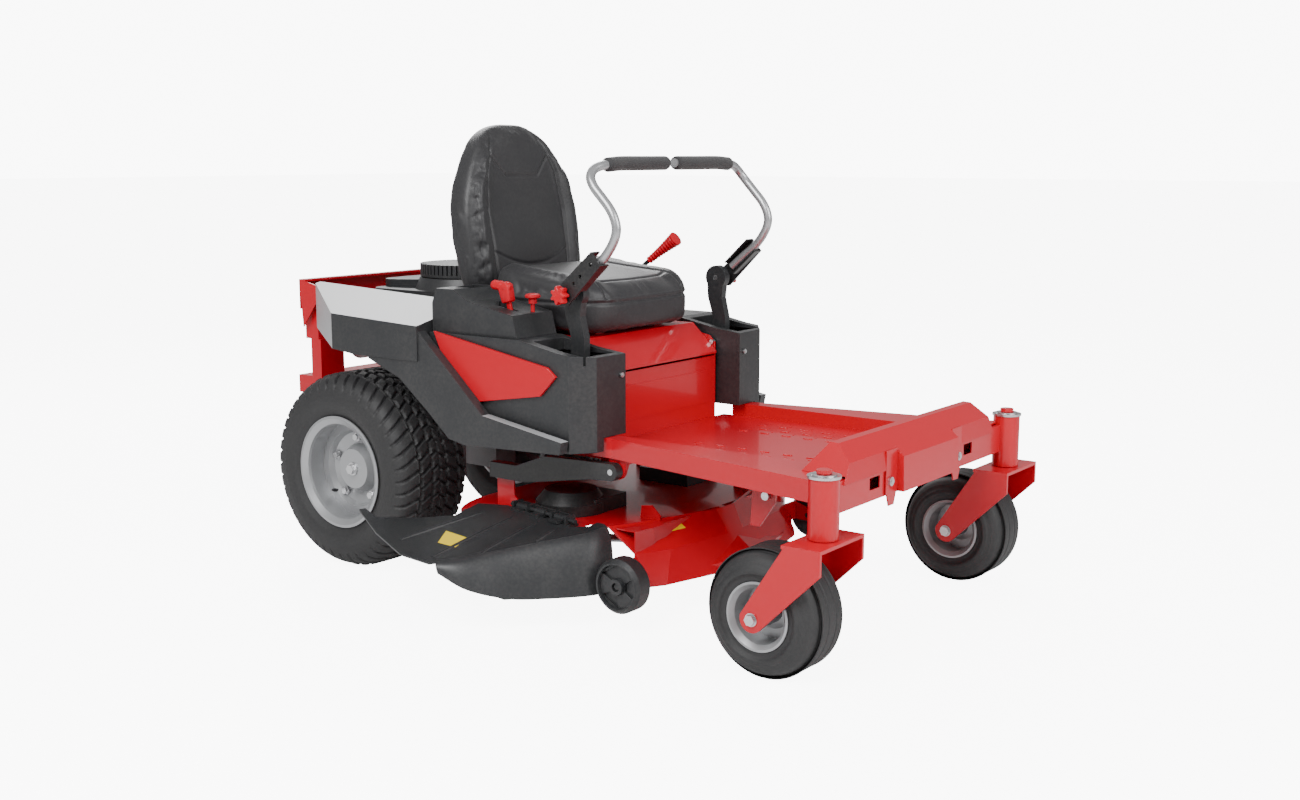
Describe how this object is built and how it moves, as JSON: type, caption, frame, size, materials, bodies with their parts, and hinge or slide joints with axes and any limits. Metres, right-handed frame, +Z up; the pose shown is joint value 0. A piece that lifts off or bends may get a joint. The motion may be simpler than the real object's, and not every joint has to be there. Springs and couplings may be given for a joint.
{
  "type": "zero turn mower",
  "caption": "Ride-on lawn mower steered by two lap bars, rear driven wheels, front swivel casters, side discharge deck under the frame",
  "frame": {"origin": "middle of the bounding box in X and Y, at the ground under the tyres", "axes": "+X forward, +Y to the driver's left, +Z up"},
  "size_m": [1.894, 1.23, 1.1385],
  "materials": {
    "red_paint": "gloss powder coat",
    "black_paint": "satin powder coat",
    "zinc": "bright zinc plate",
    "rim_grey": "silver grey paint",
    "black_plastic": "textured moulding",
    "red_plastic": "smooth moulding",
    "tyre": "moulded rubber",
    "foam": "soft foam grip",
    "vinyl": "stitched black vinyl",
    "cast_metal": "as cast",
    "steel": "mill finish",
    "tube_grey": "silver grey paint"
  },
  "bodies": {
    "chassis": {"frame_rails": "red_paint", "floor_pan": "red_paint", "foot_plate": "red_paint", "seat_tower": "red_paint", "rear_frame": "red_paint", "engine_guard": "red_paint", "side_cover_right": "black_plastic", "side_cover_left": "black_plastic", "fender_right": "black_plastic", "fender_left": "black_plastic", "side_inserts": "red_plastic", "console_right": "black_plastic", "engine_block": "cast_metal", "blower_housing": "black_plastic", "muffler": "steel", "fuel_cap": "black_plastic", "transaxles": "cast_metal", "fasteners": "zinc"},
    "screen": {"flywheel_screen": "black_plastic"},
    "rear_wheel_right": {"rear_tyre_right": "tyre", "rear_rim_right": "rim_grey", "wheel_bolts_right": "zinc"},
    "caster_right": {"caster_fork_right": "red_paint", "caster_axle_right": "zinc"},
    "caster_wheel_right": {"caster_tyre_right": "tyre", "caster_rim_right": "rim_grey"},
    "hub_right": {"arm_hub_right": "steel"},
    "control_right": {"control_arm_right": "black_plastic"},
    "lapbar_right": {"bar_bracket_right": "black_paint", "lap_bar_right": "tube_grey", "bar_grip_right": "foam"},
    "knob_right": {"bar_knob_right": "red_plastic"},
    "rear_wheel_left": {"rear_tyre_left": "tyre", "rear_rim_left": "rim_grey", "wheel_bolts_left": "zinc"},
    "caster_left": {"caster_fork_left": "red_paint", "caster_axle_left": "zinc"},
    "caster_wheel_left": {"caster_tyre_left": "tyre", "caster_rim_left": "rim_grey"},
    "hub_left": {"arm_hub_left": "steel"},
    "control_left": {"control_arm_left": "black_plastic"},
    "lapbar_left": {"bar_bracket_left": "black_paint", "lap_bar_left": "tube_grey", "bar_grip_left": "foam"},
    "knob_left": {"bar_knob_left": "red_plastic"},
    "throttle": {"throttle_lever": "red_plastic"},
    "pto": {"pto_knob": "red_plastic"},
    "brake": {"brake_lever": "red_plastic"},
    "seat": {"seat_base": "red_paint", "seat_cushion": "vinyl", "seat_back": "vinyl"},
    "deck": {"deck_shell": "red_paint", "belt_covers": "black_paint", "chute_bracket": "black_plastic"},
    "lift": {"lift_arms": "black_paint"},
    "chute": {"discharge_chute": "black_plastic"},
    "blade_right": {"blade_right": "steel"},
    "gauge_right": {"gauge_wheel_right": "black_plastic"},
    "blade_left": {"blade_left": "steel"},
    "gauge_left": {"gauge_wheel_left": "black_plastic"}
  },
  "joints": [
    {"name": "screen_spin", "type": "hinge", "parent": "chassis", "child": "screen", "pos_m": [-0.4815, 0.07, 0.76], "axis": [0, 0, 1], "continuous": true},
    {"name": "rear_wheel_right_roll", "type": "hinge", "parent": "chassis", "child": "rear_wheel_right", "pos_m": [-0.5355, -0.256, 0.254], "axis": [0, 1, 0], "continuous": true},
    {"name": "caster_right_swivel", "type": "hinge", "parent": "chassis", "child": "caster_right", "pos_m": [0.9015, -0.377, 0.35], "axis": [0, 0, 1], "continuous": true},
    {"name": "caster_wheel_right_roll", "type": "hinge", "parent": "caster_right", "child": "caster_wheel_right", "pos_m": [0.7905, -0.377, 0.137], "axis": [0, 1, 0], "continuous": true},
    {"name": "hub_right_drive", "type": "hinge", "parent": "chassis", "child": "hub_right", "pos_m": [0.1545, -0.225, 0.432], "axis": [0, 1, 0], "range_deg": [-10, 10]},
    {"name": "control_right_swing", "type": "hinge", "parent": "hub_right", "child": "control_right", "pos_m": [0.1545, -0.225, 0.48], "axis": [1, 0, 0], "range_deg": [0, 20]},
    {"name": "lapbar_right_tilt", "type": "hinge", "parent": "control_right", "child": "lapbar_right", "pos_m": [0.1425, -0.25, 0.742], "axis": [0, 1, 0], "range_deg": [-5, 5]},
    {"name": "knob_right_turn", "type": "hinge", "parent": "control_right", "child": "knob_right", "pos_m": [0.1425, -0.25, 0.742], "axis": [0, 1, 0], "continuous": true},
    {"name": "rear_wheel_left_roll", "type": "hinge", "parent": "chassis", "child": "rear_wheel_left", "pos_m": [-0.5355, 0.396, 0.254], "axis": [0, 1, 0], "continuous": true},
    {"name": "caster_left_swivel", "type": "hinge", "parent": "chassis", "child": "caster_left", "pos_m": [0.9015, 0.517, 0.35], "axis": [0, 0, 1], "continuous": true},
    {"name": "caster_wheel_left_roll", "type": "hinge", "parent": "caster_left", "child": "caster_wheel_left", "pos_m": [0.7905, 0.517, 0.137], "axis": [0, 1, 0], "continuous": true},
    {"name": "hub_left_drive", "type": "hinge", "parent": "chassis", "child": "hub_left", "pos_m": [0.1545, 0.365, 0.432], "axis": [0, 1, 0], "range_deg": [-10, 10]},
    {"name": "control_left_swing", "type": "hinge", "parent": "hub_left", "child": "control_left", "pos_m": [0.1545, 0.365, 0.48], "axis": [-1, 0, 0], "range_deg": [0, 20]},
    {"name": "lapbar_left_tilt", "type": "hinge", "parent": "control_left", "child": "lapbar_left", "pos_m": [0.1425, 0.39, 0.742], "axis": [0, 1, 0], "range_deg": [-5, 5]},
    {"name": "knob_left_turn", "type": "hinge", "parent": "control_left", "child": "knob_left", "pos_m": [0.1425, 0.39, 0.742], "axis": [0, 1, 0], "continuous": true},
    {"name": "throttle_swing", "type": "hinge", "parent": "chassis", "child": "throttle", "pos_m": [-0.0155, -0.266, 0.652], "axis": [0, 1, 0], "range_deg": [-8, 20]},
    {"name": "pto_pull", "type": "slide", "parent": "chassis", "child": "pto", "axis": [0, 0, 1], "range_m": [0, 0.012]},
    {"name": "brake_swing", "type": "hinge", "parent": "chassis", "child": "brake", "pos_m": [-0.1155, 0.352, 0.6], "axis": [0, 1, 0], "range_deg": [-18, 0]},
    {"name": "seat_tip", "type": "hinge", "parent": "chassis", "child": "seat", "pos_m": [0.1695, 0.07, 0.578], "axis": [0, 1, 0], "range_deg": [0, 40]},
    {"name": "deck_height", "type": "slide", "parent": "chassis", "child": "deck", "axis": [0, 0, 1], "range_m": [-0.03, 0.025]},
    {"name": "lift_turn", "type": "hinge", "parent": "chassis", "child": "lift", "pos_m": [0.2705, 0.07, 0.338], "axis": [0, 1, 0], "range_deg": [-4.92, 4.1]},
    {"name": "chute_lift", "type": "hinge", "parent": "deck", "child": "chute", "pos_m": [0.08367, -0.28391, 0.2203], "axis": [-0.9781, 0.2079, 0], "range_deg": [0, 30]},
    {"name": "blade_right_spin", "type": "hinge", "parent": "deck", "child": "blade_right", "pos_m": [0.0765, -0.17, 0.15], "axis": [0, 0, 1], "continuous": true},
    {"name": "gauge_right_roll", "type": "hinge", "parent": "deck", "child": "gauge_right", "pos_m": [0.3765, -0.353, 0.11], "axis": [0, 1, 0], "continuous": true},
    {"name": "blade_left_spin", "type": "hinge", "parent": "deck", "child": "blade_left", "pos_m": [0.0765, 0.31, 0.15], "axis": [0, 0, 1], "continuous": true},
    {"name": "gauge_left_roll", "type": "hinge", "parent": "deck", "child": "gauge_left", "pos_m": [0.3765, 0.493, 0.11], "axis": [0, 1, 0], "continuous": true}
  ],
  "couplings": [
    {"joint": "lift_turn", "follows": "deck_height", "rad_per_m": 2.8571},
    {"joint": "blade_left_spin", "follows": "blade_right_spin", "ratio": 1}
  ]
}
